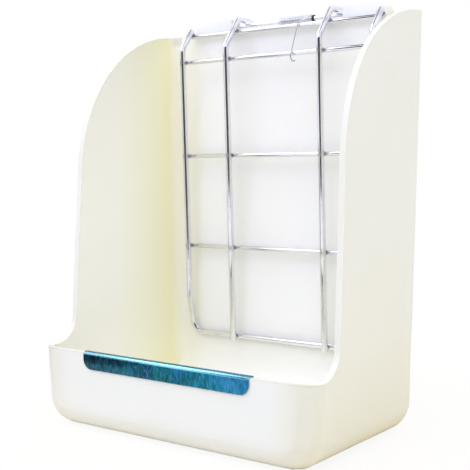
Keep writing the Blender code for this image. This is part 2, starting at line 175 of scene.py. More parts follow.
# Places worked out from the sizes
rear_y = base_depth / 2
front_y = -base_depth / 2
wall_face_y = rear_y - back_wall
rod_y = rear_y + rod_behind_wall
rod_z = box_height + rod_above_wall
inner_upright_x = outer_upright_x * inner_upright_share
cross_reach = outer_upright_x + cross_overhang
ear_inner_edge = inner_upright_x + ear_beside_inner_wire
ear_outer_edge = outer_upright_x + ear_past_outer_wire
bottom_wire_y = wall_face_y - seat_gap - upright_r
bottom_wire_z = lip_height - bottom_wire_drop
inner_foot_y = bottom_wire_y - 2 * upright_r - seat_gap
shoulder_z = box_height - shoulder_drop
upper_cross_z = shoulder_z - upper_cross_drop
mesh_height = upper_cross_z - bottom_wire_z
cross_heights = {
    "upper": upper_cross_z,
    "middle": bottom_wire_z + mesh_height * middle_cross_share,
    "lower": bottom_wire_z + mesh_height * lower_cross_share,
}
grill_front_y = wall_face_y - grill_reach
grill_lean = (inner_foot_y - grill_front_y) / mesh_height
cross_offset = upright_r + cross_r + seat_gap
slope_y = math.sin(shoulder_slope)
slope_z = math.cos(shoulder_slope)


def upright_y(z):
    return grill_front_y + grill_lean * (upper_cross_z - z)


def on_upright(x, z):
    return Vector((x, upright_y(z), z))


def slope_point(rise):
    """A place on the sloping top of the uprights, by its rise above the shoulder."""
    return (upright_y(shoulder_z) + rise * slope_y / slope_z, shoulder_z + rise)


# Mesh helpers

def loose_object(name, data):
    obj = bpy.data.objects.new(name, data)
    bpy.context.scene.collection.objects.link(obj)
    return obj


def piece_from(mesh, name, material, body, slot, *nodes):
    obj = loose_object(name, mesh)
    mesh.materials.clear()
    mesh.materials.append(material)
    if nodes:
        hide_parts(*nodes)
    if body:
        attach(obj, body)
    return obj


def opened(mesh):
    bm = bmesh.new()
    bm.from_mesh(mesh)
    return bm


def mesh_from(bm, name, closed=True):
    if closed:
        bmesh.ops.recalc_face_normals(bm, faces=bm.faces)
    mesh = bpy.data.meshes.new(name)
    bm.to_mesh(mesh)
    bm.free()
    return mesh


def smooth(mesh, degrees):
    mesh.shade_smooth()
    mesh.set_sharp_from_angle(angle=math.radians(degrees))


def sharp_edges(bm, degrees):
    return [edge for edge in bm.edges if edge.calc_face_angle(0) > math.radians(degrees)]


def level_edges(found, axis):
    """Those of the edges that run square to an axis."""
    return [edge for edge in found
            if abs(edge.verts[0].co[axis] - edge.verts[1].co[axis]) < weld_distance]


def rounded(bm, found, offset, steps, affect="EDGES", clamp=False):
    bmesh.ops.bevel(bm, geom=found, offset=offset, offset_type="OFFSET", segments=steps,
                    profile=0.5, affect=affect, material=-1, clamp_overlap=clamp)


def merged(bm, distance=weld_distance):
    bmesh.ops.remove_doubles(bm, verts=bm.verts, dist=distance)


def baked(obj):
    """The object's mesh with its modifiers and its place in it; the object goes."""
    bpy.context.view_layer.update()
    graph = bpy.context.evaluated_depsgraph_get()
    mesh = bpy.data.meshes.new_from_object(obj.evaluated_get(graph), depsgraph=graph)
    mesh.transform(obj.matrix_world)
    bpy.data.objects.remove(obj)
    return mesh


def arc(centre, radius, start_degrees, end_degrees, steps=12):
    points = []
    for step in range(steps + 1):
        angle = math.radians(start_degrees + (end_degrees - start_degrees) * step / steps)
        points.append((centre[0] + radius * math.cos(angle), centre[1] + radius * math.sin(angle)))
    return points


def filleted(corners, radii, steps=14):
    """Straight runs with an arc at each inner corner."""
    path = [corners[0]]
    for before, corner, after, radius in zip(corners, corners[1:], corners[2:], radii):
        to_before = (before - corner).normalized()
        to_after = (after - corner).normalized()
        half_angle = to_before.angle(to_after) / 2
        centre = corner + (to_before + to_after).normalized() * radius / math.sin(half_angle)
        spoke = corner + to_before * radius / math.tan(half_angle) - centre
        turn = math.pi - 2 * half_angle
        axis = to_after.cross(to_before)
        for step in range(steps + 1):
            path.append(centre + Quaternion(axis, turn * step / steps) @ spoke)
    path.append(corners[-1])
    return path


def drawn_line(name, dimensions, places):
    curve = bpy.data.curves.new(name, "CURVE")
    curve.dimensions = dimensions
    spline = curve.splines.new("POLY")
    spline.points.add(len(places) - 1)
    for point, place in zip(spline.points, places):
        point.co = (*place, 1)
    return curve


def plate(name, outline, thickness, placing):
    """A flat outline filled and given thickness, then placed by a matrix."""
    curve = drawn_line(name, "2D", [(across, along, 0) for across, along in outline])
    curve.splines[0].use_cyclic_u = True
    curve.fill_mode = "BOTH"
    curve.extrude = thickness / 2
    bm = opened(baked(loose_object(name, curve)))
    merged(bm)
    bmesh.ops.dissolve_limit(bm, angle_limit=math.radians(0.1), verts=bm.verts, edges=bm.edges)
    bmesh.ops.transform(bm, matrix=placing, verts=bm.verts)
    return mesh_from(bm, name)


front_view = Matrix.Rotation(math.pi / 2, 4, "X")
side_view = Matrix.Rotation(math.pi / 2, 4, "Z") @ front_view


def combine(mesh, other, operation):
    target = loose_object("target", mesh)
    tool = loose_object("tool", other)
    boolean = target.modifiers.new("combine", "BOOLEAN")
    boolean.operation = operation
    boolean.solver = "EXACT"
    boolean.object = tool
    result = baked(target)
    bpy.data.objects.remove(tool)
    return result


# Moulded box shapes

def rounded_block(low, high, front_radius, rear_radius, bottom, rear_bottom):
    middle = (low + high) / 2
    bm = bmesh.new()
    bmesh.ops.create_cube(bm, size=1)
    bmesh.ops.scale(bm, vec=high - low, verts=bm.verts)
    bmesh.ops.translate(bm, vec=middle, verts=bm.verts)
    weight = bm.edges.layers.float.new("bevel_weight_edge")
    widest = max(front_radius, rear_radius, bottom, rear_bottom)
    for edge in bm.edges:
        place = (edge.verts[0].co + edge.verts[1].co) / 2 - middle
        if abs(place.z) < weld_distance:
            edge[weight] = (front_radius if place.y < 0 else rear_radius) / widest
        elif place.z < 0:
            edge[weight] = (rear_bottom if place.y > weld_distance else bottom) / widest
    block = loose_object("block", mesh_from(bm, "block"))
    bevel = block.modifiers.new("edges", "BEVEL")
    bevel.limit_method = "WEIGHT"
    bevel.width = widest
    bevel.segments = block_edge_steps
    return baked(block)


def wing_outline():
    """What is cut away above the lip and in front of the wings, seen from the side."""
    lip_y = front_y - overrun
    shoulder_y = rear_y - wing_depth
    curve_foot = box_height - wing_curve_height
    foot = Vector((shoulder_y - wing_foot_reach, lip_height, 0))
    corners = [Vector((lip_y, lip_height, 0)), foot, Vector((shoulder_y, curve_foot, 0))]
    outline = [(point.x, point.y) for point in filleted(corners, [wing_fillet_radius])]
    for step in range(1, wing_curve_steps):
        angle = math.pi / 2 * step / wing_curve_steps
        along = wing_depth * math.cos(angle) ** (2 / wing_curve_power)
        up = wing_curve_height * math.sin(angle) ** (2 / wing_curve_power)
        if along > top_corner_round + wing_curve_margin:
            outline.append((rear_y - along, curve_foot + up))
    corner_centre = (rear_y - top_corner_round, box_height - top_corner_round)
    outline += arc(corner_centre, top_corner_round, 90, 0, 6)
    far_y, high_z = rear_y + overrun, box_height + overrun
    return outline + [(far_y, corner_centre[1]), (far_y, high_z), (lip_y, high_z)]


def side_spread(y, z):
    """How far the side of the box lies outside its rear half width at a place."""
    reach = rear_y - y
    rise = z / box_height
    flare = wing_front_flare * (1 - rise ** wing_flare_power)
    wing = wing_top_spread * rise + flare * reach / wing_depth
    lean = trough_rear_spread + (trough_front_spread - trough_rear_spread) * reach / base_depth
    trough = lean * z / lip_height + trough_front_flare * reach / base_depth
    blend = min(max((z - lip_height) / spread_blend_height, 0), 1)
    blend = blend ** 2 * (3 - 2 * blend)
    return trough + (wing - trough) * blend


def slice_mesh(bm, axis, low, high, count):
    for step in range(1, count):
        place = Vector((0, 0, 0))
        place[axis] = low + (high - low) * step / count
        normal = Vector((0, 0, 0))
        normal[axis] = 1
        everything = bm.verts[:] + bm.edges[:] + bm.faces[:]
        bmesh.ops.bisect_plane(bm, geom=everything, dist=weld_distance, plane_co=place,
                               plane_no=normal)


def ear_mesh(side):
    low_z = box_height - ear_root
    high_z = rod_z + bore_r + ear_top_wall
    near_y = wall_face_y + ear_set_in
    far_y = rod_y + bore_r + ear_back_wall
    inner_centre = (ear_inner_edge + ear_inner_radius, high_z - ear_inner_radius)
    outer_centre = (ear_outer_edge - ear_outer_radius, high_z - ear_outer_radius)
    outline = [(ear_outer_edge, low_z)]
    outline += arc(outer_centre, ear_outer_radius, 0, 90)
    outline += arc(inner_centre, ear_inner_radius, 90, 180, 6)
    outline.append((ear_inner_edge, low_z))
    outline = [(side * across, up) for across, up in outline]
    placing = Matrix.Translation((0, (near_y + far_y) / 2, 0)) @ front_view
    bm = opened(plate("ear", outline, far_y - near_y, placing))
    above_root = low_z + ear_root_margin
    rims = [edge for edge in sharp_edges(bm, 60)
            if max(vert.co.z for vert in edge.verts) > above_root]
    rounded(bm, level_edges(rims, 1), ear_edge_round, 4, clamp=True)
    return mesh_from(bm, "ear")


def straight_round(name, radius, low_x, high_x, end_round=bar_end_round):
    """A round bar along X about the X axis, its end edges rounded."""
    bm = bmesh.new()
    bmesh.ops.create_cone(bm, cap_ends=True, segments=round_sides, radius1=radius,
                          radius2=radius, depth=high_x - low_x)
    if end_round:
        rounded(bm, level_edges(bm.edges, 2), end_round, 3)
    middle = Matrix.Translation(((low_x + high_x) / 2, 0, 0))
    bmesh.ops.transform(bm, matrix=middle @ Matrix.Rotation(math.pi / 2, 4, "Y"), verts=bm.verts)
    return mesh_from(bm, name)


def make_moulding(material):
    outer = rounded_block(Vector((-rear_half_width, front_y, 0)),
                          Vector((rear_half_width, rear_y, box_height)),
                          front_corner_radius, rear_corner_radius, bottom_radius, bottom_radius)
    inner_half_width = rear_half_width - side_wall
    inner = rounded_block(Vector((-inner_half_width, front_y + front_wall, floor_thickness)),
                          Vector((inner_half_width, wall_face_y, box_height + overrun)),
                          inner_corner_radius, inner_corner_radius, inner_bottom_radius,
                          scoop_radius)
    above = plate("above_wings", wing_outline(), 2 * (rear_half_width + overrun), side_view)
    shell = combine(combine(outer, inner, "DIFFERENCE"), above, "DIFFERENCE")
    bm = opened(shell)
    merged(bm)
    rims = [edge for edge in bm.edges if edge.calc_face_angle_signed(0) > math.radians(50)]
    rounded(bm, rims, rim_round, 4, clamp=True)
    slice_mesh(bm, 1, front_y, rear_y, slices_deep)
    slice_mesh(bm, 2, 0, box_height, slices_high)
    merged(bm)
    for vertex in bm.verts:
        vertex.co.x *= 1 + side_spread(vertex.co.y, vertex.co.z) / rear_half_width
    shell = mesh_from(bm, "shell")
    for side in (-1, 1):
        shell = combine(shell, ear_mesh(side), "UNION")
    bore = straight_round("bore", bore_r, -ear_outer_edge - overrun,
                          ear_outer_edge - bore_end_wall, end_round=0)
    bore.transform(Matrix.Translation((0, rod_y, rod_z)))
    bm = opened(combine(shell, bore, "DIFFERENCE"))
    merged(bm, 2 * weld_distance)
    shell = mesh_from(bm, "box_moulding")
    smooth(shell, 32)
    box = piece_from(shell, "box_moulding", material, "box", "ivory_plastic", "feeder_box")
    normals = box.modifiers.new("even_shading", "WEIGHTED_NORMAL")
    normals.keep_sharp = True
    normals.weight = 60


# Chew guard shape

def vertices_in(items):
    return [item for item in items if isinstance(item, bmesh.types.BMVert)]


def make_guard(material):
    """One strip: front flange, two folds and rear flange, its front corners rounded."""
    outer_front = front_y - guard_gap - guard_thickness
    outer_back = front_y + front_wall + guard_gap + guard_thickness
    outer_top = lip_height + guard_gap + guard_thickness
    half = guard_length / 2
    bm = bmesh.new()
    low_z = outer_top - guard_front_drop
    knee_z = outer_top - guard_fold_radius
    rear_fold_y = outer_back - guard_fold_radius

    def run(start, y, z):
        end = bm.verts.new((-half, y, z))
        bm.edges.new((start, end))
        return end

    def fold(start, centre_y):
        turned = bmesh.ops.spin(bm, geom=[start], cent=(-half, centre_y, knee_z),
                                axis=(1, 0, 0), angle=-math.pi / 2, steps=guard_fold_steps)
        return vertices_in(turned["geom_last"])[0]

    front = run(bm.verts.new((-half, outer_front, low_z)), outer_front, knee_z)
    top = run(fold(front, outer_front + guard_fold_radius), rear_fold_y, outer_top)
    run(fold(top, rear_fold_y), outer_back, outer_top - guard_rear_drop)
    drawn = bmesh.ops.extrude_edge_only(bm, edges=bm.edges[:])
    bmesh.ops.translate(bm, vec=(guard_length, 0, 0), verts=vertices_in(drawn["geom"]))
    corners = [vert for vert in bm.verts if abs(vert.co.z - low_z) < weld_distance
               and abs(vert.co.y - outer_front) < weld_distance]
    rounded(bm, corners, guard_corner_radius, guard_corner_steps, affect="VERTICES")
    merged(bm)
    bmesh.ops.recalc_face_normals(bm, faces=bm.faces)
    top_face = max(bm.faces, key=lambda face: face.calc_center_median().z)
    if top_face.normal.z < 0:
        bmesh.ops.reverse_faces(bm, faces=bm.faces)
    strip = loose_object("guard", mesh_from(bm, "guard", closed=False))
    sheet = strip.modifiers.new("sheet", "SOLIDIFY")
    sheet.thickness = guard_thickness
    sheet.offset = -1
    sheet.use_even_offset = True
    bevel = strip.modifiers.new("edges", "BEVEL")
    bevel.width = guard_edge_round
    bevel.segments = 2
    bevel.limit_method = "ANGLE"
    bevel.angle_limit = math.radians(50)
    mesh = baked(strip)
    smooth(mesh, 40)
    piece_from(mesh, "guard_strip", material, "box", "blue_sheet_metal", "chew_guard")


# Wire shapes

def bent_wire(name, path, radius, resolution=7, end_round=wire_end_round):
    """A round wire along a path, with its cut ends rounded off."""
    curve = drawn_line(name, "3D", path)
    curve.bevel_depth = radius
    curve.bevel_resolution = resolution
    curve.use_fill_caps = True
    bm = opened(baked(loose_object(name, curve)))
    merged(bm, weld_distance / 10)
    rounded(bm, sharp_edges(bm, 70), end_round, 3)
    mesh = mesh_from(bm, name)
    smooth(mesh, 40)
    return mesh


def frame_wire_half(side):
    x = side * outer_upright_x
    tip_y, tip_z = slope_point(outer_tip_rise)
    step_z = bottom_wire_z + bottom_step_height
    corners = [
        Vector((x, tip_y, tip_z)),
        on_upright(x, shoulder_z),
        on_upright(x, step_z),
        Vector((x, bottom_wire_y, bottom_wire_z)),
        Vector((0, bottom_wire_y, bottom_wire_z)),
    ]
    return filleted(corners, [shoulder_radius, bottom_step_radius, bottom_corner_radius])


def inner_wire_path(side):
    x = side * inner_upright_x
    reach = rod_r + upright_r + seat_gap
    over = Vector((0, math.cos(hook_slope), math.sin(hook_slope)))
    touch = Vector((x, rod_y - over.z * reach, rod_z + over.y * reach))
    to_slope = on_upright(x, shoulder_z) - touch
    turn = over.y * slope_z - over.z * slope_y
    knee = touch + over * (to_slope.y * slope_z - to_slope.z * slope_y) / turn
    crest = touch + over * hook_crest_behind_rod
    tail = Vector((0, math.cos(hook_tail_slope), -math.sin(hook_tail_slope)))
    foot_z = bottom_wire_z - inner_tail_below
    corners = [crest + tail * hook_tail_length, crest, knee, on_upright(x, shoulder_z),
               on_upright(x, foot_z)]
    return filleted(corners, [hook_radius, knee_radius, shoulder_radius])


def top_cross_place():
    y, z = slope_point(top_cross_rise)
    return y + cross_offset * slope_z, z - cross_offset * slope_y


def make_grill(upright_material, cross_material, weld_material):
    left = frame_wire_half(-1)
    right = frame_wire_half(1)
    outer = bent_wire("grill_outer_wire", left + right[-2::-1], upright_r)
    piece_from(outer, "grill_outer_wire", upright_material, "grill", "plated_wire", "frame_wire")
    for side, word in ((-1, "left"), (1, "right")):
        name = "grill_inner_wire_" + word
        inner = bent_wire(name, inner_wire_path(side), upright_r)
        piece_from(inner, name, upright_material, "grill", "plated_wire", "inner_wire_" + word)
    places = {"top": top_cross_place()}
    for word, z in cross_heights.items():
        places[word] = (upright_y(z) + cross_offset, z)
    for word, (y, z) in places.items():
        name = "grill_cross_wire_" + word
        cross = straight_round(name, cross_r, -cross_reach, cross_reach)
        cross.transform(Matrix.Translation((0, y, z)))
        smooth(cross, 40)
        piece_from(cross, name, cross_material, "grill", "plated_wire", "cross_wire_" + word)
    welds = bmesh.new()
    for x in (-outer_upright_x, -inner_upright_x, inner_upright_x, outer_upright_x):
        for word, (y, z) in places.items():
            turn = -shoulder_slope if word == "top" else 0
            towards = Vector((0, -math.cos(turn), -math.sin(turn)))
            add_weld(welds, Vector((x, y, z)) + towards * (cross_r + seat_gap / 2), turn)
    for x in (-inner_upright_x, inner_upright_x):
        middle_y = (bottom_wire_y + inner_foot_y) / 2
        add_weld(welds, Vector((x, middle_y, bottom_wire_z)), 0)
    mesh = mesh_from(welds, "grill_welds")
    smooth(mesh, 80)
    piece_from(mesh, "grill_welds", weld_material, "grill", "plated_wire")


def add_weld(bm, centre, turn):
    """A squeezed bead where two crossing wires were welded."""
    made = bmesh.ops.create_icosphere(bm, subdivisions=3, radius=1)
    for vertex in made["verts"]:
        lumps = noise.noise(vertex.co * weld_lump_scale + centre * weld_lump_spread)
        flat = Vector([part * half * mm for part, half in zip(vertex.co, weld_half_size_mm)])
        flat *= 1 + weld_unevenness * lumps
        vertex.co = centre + Matrix.Rotation(turn, 3, "X") @ flat


def spring_path():
    """The spring's wire from its rear leg, round the coil, to its front leg and end hook."""
    wrap_r = cross_r + seat_gap + spring_r
    top_y, top_z = top_cross_place()
    ahead = rod_y - top_y
    below = rod_z - top_z
    drop = math.atan2(below, ahead) + math.asin((coil_r - wrap_r) / math.hypot(ahead, below))
    foot_y = rear_y + seat_gap + spring_r - rod_y
    foot_reach = math.hypot(foot_y, rear_leg_drop)
    first_angle = math.atan2(-rear_leg_drop, foot_y) + math.acos(coil_r / foot_reach)
    last_angle = math.pi / 2 + drop + 2 * math.pi * spring_turns
    turning = last_angle - first_angle
    left_end = spring_right_end - spring_pitch * turning / (2 * math.pi)
    steps = round(spring_steps_per_turn * turning / (2 * math.pi))
    points = [Vector((left_end, rod_y + foot_y, rod_z - rear_leg_drop))]
    for step in range(steps + 1):
        angle = first_angle + turning * step / steps
        x = left_end + (spring_right_end - left_end) * step / steps
        points.append(Vector((x, rod_y + coil_r * math.cos(angle),
                              rod_z + coil_r * math.sin(angle))))
    bend_x = spring_right_end + spring_bend_shift
    hook_x = spring_right_end + spring_hook_shift
    cross = Vector((hook_x, upright_y(upper_cross_z) + cross_offset, upper_cross_z))
    slope = math.atan2(top_y - cross.y, top_z - cross.z)
    along = Vector((0, math.sin(slope), math.cos(slope)))
    across = Vector((0, math.cos(slope), -math.sin(slope)))
    touch = cross - across * wrap_r
    hook_start = touch - along * spring_hook_below_cross
    hook_centre = hook_start + across * spring_hook_radius
    coil_end = points[-1]
    climb = spring_pitch / (2 * math.pi * coil_r)
    lead_end = coil_end + Vector((climb, -math.cos(drop), -math.sin(drop))) * spring_leg_lead
    square = Vector((0, -math.sin(drop), math.cos(drop)))
    bend = touch + along * (coil_end - touch).dot(square) / along.dot(square)
    bend.x = bend_x
    leg = filleted([coil_end, lead_end, bend, hook_start], [spring_lead_radius, wrap_r])
    points += leg[1:-1]
    hook = arc(hook_centre.yz, spring_hook_radius, 180 - math.degrees(slope),
               spring_hook_end_degrees, spring_hook_steps)
    points += [Vector((hook_x, y, z)) for y, z in hook]
    return points


def make_spring(material):
    mesh = bent_wire("torsion_spring_wire", spring_path(), spring_r, 3, spring_end_round)
    spring = piece_from(mesh, "torsion_spring_wire", material, None, "spring_steel",
                        "torsion_spring")
    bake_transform(spring)


def make_rod(material):
    rod = straight_round("hinge_rod_bar", rod_r, rod_set_in - ear_outer_edge,
                         ear_outer_edge - rod_end_wall, rod_end_round)
    rod.transform(Matrix.Translation((0, rod_y, rod_z)))
    smooth(rod, 40)
    piece_from(rod, "hinge_rod_bar", material, "box", "plated_wire", "hinge_rod")


def make_ring(material):
    """A short rubber sleeve, turned from its own section."""
    inner_r = rod_r + ring_clearance
    half = ring_length / 2
    bm = bmesh.new()
    section = [(inner_r, half), (ring_outer_r, half), (ring_outer_r, -half), (inner_r, -half)]
    corners = [bm.verts.new((along, radius, 0)) for radius, along in section]
    loop = [bm.edges.new(ends) for ends in zip(corners, corners[1:] + corners[:1])]
    bmesh.ops.spin(bm, geom=corners + loop, cent=(0, 0, 0), axis=(1, 0, 0), angle=2 * math.pi,
                   steps=ring_steps, use_merge=True)
    merged(bm)
    rounded(bm, sharp_edges(bm, 60), ring_edge_round, 3)
    place = (spring_right_end + 2 * spring_r + half, rod_y, rod_z)
    bmesh.ops.translate(bm, vec=place, verts=bm.verts)
    mesh = mesh_from(bm, "stop_ring_rubber")
    smooth(mesh, 50)
    piece_from(mesh, "stop_ring_rubber", material, "box", "black_rubber", "spring_stop_ring")


# Colours of the plastic, from its clean ivory to its marks, and the painted shade in its rear
# corners, on its edges, wing rims and ears, on its front and on its back wall
ivory = (0.950, 0.933, 0.815, 1)
ivory_cloud = (0.956, 0.942, 0.84, 1)
# Yellow painted shade for the two rear inner corners
ivory_corner_shade = (0.945, 0.912, 0.57, 1)
ivory_ear_shade = (0.92, 0.915, 0.81, 1)
ivory_edge_shade = (0.82, 0.80, 0.66, 1)
ivory_wing_rim_shade = (0.79, 0.775, 0.64, 1)
ivory_scuff = (0.89, 0.86, 0.68, 1)
front_middle_shade = (0.82, 0.833, 0.83, 1)
front_end_shade = (0.775, 0.77, 0.70, 1)
upper_wall_shade_tone = (0.925, 0.925, 0.925, 1)

# Colours of the metals and the rubber
plating = (0.83, 0.84, 0.88, 1)
plating_blush = (0.74, 0.715, 0.77, 1)
plating_drawn = (0.55, 0.54, 0.58, 1)
weld_side_dark = (0.20, 0.19, 0.20, 1)
bead_dark = (0.20, 0.20, 0.23, 1)
bead_light = (0.38, 0.37, 0.40, 1)
coil_steel = (0.84, 0.85, 0.88, 1)
coil_steel_light = (0.92, 0.93, 0.95, 1)
# Painted shade: the spring's legs darker than its coil
leg_steel_shade = (0.46, 0.465, 0.49, 1)
rubber_black = (0.012, 0.012, 0.014, 1)
rubber_dusty = (0.03, 0.03, 0.034, 1)

# Colours of the guard; the shades run from its dark left end to its bright right end as painted
# shade and highlight, and the fold and edge colours are painted highlights
guard_shades = (
    (0.08, (0.002, 0.020, 0.060, 1)),
    (0.30, (0.002, 0.055, 0.095, 1)),
    (0.48, (0.004, 0.105, 0.150, 1)),
    (0.72, (0.014, 0.18, 0.33, 1)),
    (1.0, (0.040, 0.26, 0.46, 1)),
)
guard_green_tint = (0.35, 1.08, 0.95, 1)
guard_violet_tint = (0.9, 0.85, 1.2, 1)
guard_speck = (0.085, 0.34, 0.56, 1)
guard_fold_highlight = (0.32, 0.80, 0.95, 1)
guard_edge_highlight = (0.20, 0.52, 0.70, 1)


# Shader helpers

def add(tree, kind, inputs=None, **settings):
    node = tree.nodes.new(kind)
    for name, value in settings.items():
        setattr(node, name, value)
    for name, value in (inputs or {}).items():
        put(tree, value, node.inputs[name])
    return node


def put(tree, value, socket):
    if isinstance(value, bpy.types.NodeSocket):
        tree.links.new(value, socket)
    else:
        socket.default_value = value


def maths(tree, operation, first, second=0.0, third=0.0, clamp=False):
    node = add(tree, "ShaderNodeMath", operation=operation, use_clamp=clamp)
    for socket, value in zip(node.inputs, (first, second, third)):
        put(tree, value, socket)
    return node.outputs[0]


def product(tree, first, *others):
    for other in others:
        first = maths(tree, "MULTIPLY", first, other)
    return first


def share_over(tree, mask, share, base):
    """A base value, raised by a share of a mask."""
    return maths(tree, "MULTIPLY_ADD", mask, share, base)


def ranged(tree, value, low, high, to_low=0.0, to_high=1.0):
    node = add(tree, "ShaderNodeMapRange", {"Value": value, "From Min": low, "From Max": high,
                                            "To Min": to_low, "To Max": to_high}, clamp=True)
    return node.outputs["Result"]


def mixed(tree, factor, first, second, blend="MIX"):
    node = add(tree, "ShaderNodeMix", data_type="RGBA", blend_type=blend)
    put(tree, factor, node.inputs[0])
    put(tree, first, node.inputs[6])
    put(tree, second, node.inputs[7])
    return node.outputs[2]


def marked(tree, body, mask, share, colour):
    """A body colour with a share of another colour where the mask is."""
    return mixed(tree, product(tree, mask, share), body, colour)


def axes(tree, vector):
    return tuple(add(tree, "ShaderNodeSeparateXYZ", {"Vector": vector}).outputs)


def dot(tree, first, second):
    node = add(tree, "ShaderNodeVectorMath", operation="DOT_PRODUCT")
    put(tree, first, node.inputs[0])
    put(tree, second, node.inputs[1])
    return node.outputs["Value"]


def mottle(tree, vector, scale, detail=2.0, roughness=0.5, distortion=0.0, result="Fac"):
    node = add(tree, "ShaderNodeTexNoise", {"Vector": vector, "Scale": scale, "Detail": detail,
                                            "Roughness": roughness, "Distortion": distortion})
    return node.outputs[result]


def make_group(name, numbers, results):
    """A node group that takes a vector and some numbers and gives masks or heights."""
    tree = bpy.data.node_groups.new(name, "ShaderNodeTree")
    tree.interface.new_socket("Vector", in_out="INPUT", socket_type="NodeSocketVector")
    for label, value in numbers.items():
        socket = tree.interface.new_socket(label, in_out="INPUT", socket_type="NodeSocketFloat")
        socket.default_value = value
    for label in results:
        tree.interface.new_socket(label, in_out="OUTPUT", socket_type="NodeSocketFloat")
    return tree, tree.nodes.new("NodeGroupInput").outputs, tree.nodes.new("NodeGroupOutput").inputs


def use_group(tree, group, vector, **numbers):
    node = tree.nodes.new("ShaderNodeGroup")
    node.node_tree = group
    for name, value in {"Vector": vector, **numbers}.items():
        put(tree, value, node.inputs[name])
    return node.outputs


def start_material(name):
    material = bpy.data.materials.new(name)
    material.use_nodes = True
    tree = material.node_tree
    place = add(tree, "ShaderNodeTexCoord").outputs["Object"]
    return material, tree, tree.nodes["Principled BSDF"], place


def surface(tree, shader, colour, roughness, plain=None):
    put(tree, colour, shader.inputs["Base Color"])
    put(tree, roughness, shader.inputs["Roughness"])
    for name, value in (plain or {}).items():
        shader.inputs[name].default_value = value


def bump(tree, shader, height, distance, strength, normal=None):
    node = add(tree, "ShaderNodeBump", {"Height": height, "Distance": distance,
                                        "Strength": strength})
    if normal is not None:
        put(tree, normal, node.inputs["Normal"])
    put(tree, node.outputs["Normal"], shader.inputs["Normal"])
    return node.outputs["Normal"]


# Effects that more than one material uses

def smudge_group():
    """Soft cloudy marks left by handling and uneven cooling."""
    tree, given, result = make_group("handling_smudges", {"Size": 30.0}, ["Mask"])
    clouds = mottle(tree, given["Vector"], given["Size"], 5.0, 0.6, 0.8)
    put(tree, ranged(tree, clouds, 0.38, 0.66), result["Mask"])
    return tree


def grain_group():
    """Fine even grain of a moulded or rolled surface."""
    tree, given, result = make_group("fine_grain", {"Size": 1500.0}, ["Height"])
    put(tree, mottle(tree, given["Vector"], given["Size"], 3.0, 0.55), result["Height"])
    return tree


def scratch_group():
    """Thin marks drawn out along Z of the vector that comes in."""
    tree, given, result = make_group("drawn_scratches",
                                     {"Size": 400.0, "Stretch": 0.03, "Amount": 0.5},
                                     ["Mask", "Height"])
    x, y, z = axes(tree, given["Vector"])
    drawn_out = add(tree, "ShaderNodeCombineXYZ",
                    {"X": x, "Y": y, "Z": product(tree, z, given["Stretch"])})
    lines = mottle(tree, drawn_out.outputs[0], given["Size"], 4.0, 0.7)
    threshold = share_over(tree, given["Amount"], -0.25, 0.72)
    above, contrast = maths(tree, "SUBTRACT", lines, threshold), 9.0
    put(tree, maths(tree, "MULTIPLY", above, contrast, clamp=True), result["Mask"])
    put(tree, lines, result["Height"])
    return tree


def edge_group():
    """Edges and rims, found from how much the surface turns within a small distance; the mask
    carries painted shade on the plastic's edges and a painted highlight on the guard's edges.
    """
    tree, given, result = make_group("edge_shade_and_highlight", {"Width": 0.8 * mm}, ["Mask"])
    soft = add(tree, "ShaderNodeBevel", {"Radius": given["Width"]}, samples=4)
    plain = add(tree, "ShaderNodeNewGeometry")
    turned = ranged(tree, dot(tree, soft.outputs["Normal"], plain.outputs["Normal"]), 0.995, 0.90)
    breaks = mottle(tree, given["Vector"], 240.0, 3.0)
    put(tree, product(tree, turned, ranged(tree, breaks, 0.3, 0.6, 0.6)), result["Mask"])
    return tree


def weld_tint_group():
    """Darker on the wires beside the welded crossings."""
    tree, given, result = make_group("weld_side_dark_marks", {"Reach": 4.0 * mm}, ["Mask"])
    x, _, z = axes(tree, given["Vector"])

    def near(value, place):
        away = maths(tree, "ABSOLUTE", maths(tree, "SUBTRACT", value, place))
        share = maths(tree, "DIVIDE", away, given["Reach"])
        return maths(tree, "SUBTRACT", 1.0, share, clamp=True)

    across = maths(tree, "ABSOLUTE", x)
    columns = maths(tree, "MAXIMUM", near(across, inner_upright_x), near(across, outer_upright_x))
    rows = near(z, top_cross_place()[1] + mm)
    for height in cross_heights.values():
        rows = maths(tree, "MAXIMUM", rows, near(z, height))
    spots = mottle(tree, given["Vector"], 700.0, 3.0)
    uneven = ranged(tree, spots, 0.3, 0.7, 0.55, 1.0)
    put(tree, product(tree, columns, rows, uneven), result["Mask"])
    return tree


smudges = smudge_group()
grain = grain_group()
scratches = scratch_group()
edge_shade_and_highlight = edge_group()
weld_side_darkening = weld_tint_group()


def smudged(tree, place, size):
    return use_group(tree, smudges, place, Size=size)["Mask"]


# Materials; each pair of places is where a tone starts and where it is full

def corner_shade_mask(tree, place, facing):
    """How near a place inside the box is to its rear corners, where a yellow painted shade goes.
    """
    inside_reach = (20 * mm, 4 * mm)
    yellow_reach = (54 * mm, 4 * mm)
    before_wall = (wall_face_y + 1.5 * mm, wall_face_y + 0.5 * mm)
    side_weight = 2.4
    wing_share = 0.26
    x, y, _ = axes(tree, place)
    facing_x, facing_y, _ = axes(tree, facing)
    inside = ranged(tree, product(tree, x, facing_x), *inside_reach)
    corner_x = rear_half_width - side_wall
    from_side = maths(tree, "SUBTRACT", corner_x, maths(tree, "ABSOLUTE", x))
    from_side = product(tree, maths(tree, "MAXIMUM", from_side, 0.0), side_weight)
    from_back = maths(tree, "MAXIMUM", maths(tree, "SUBTRACT", wall_face_y, y), 0.0)
    away = maths(tree, "SQRT", maths(tree, "ADD", maths(tree, "POWER", from_side, 2.0),
                                     maths(tree, "POWER", from_back, 2.0)))
    on_wing = ranged(tree, facing_y, -1.0, -0.2, wing_share, 1.0)
    return product(tree, ranged(tree, away, *yellow_reach), ranged(tree, y, *before_wall),
                   inside, on_wing)


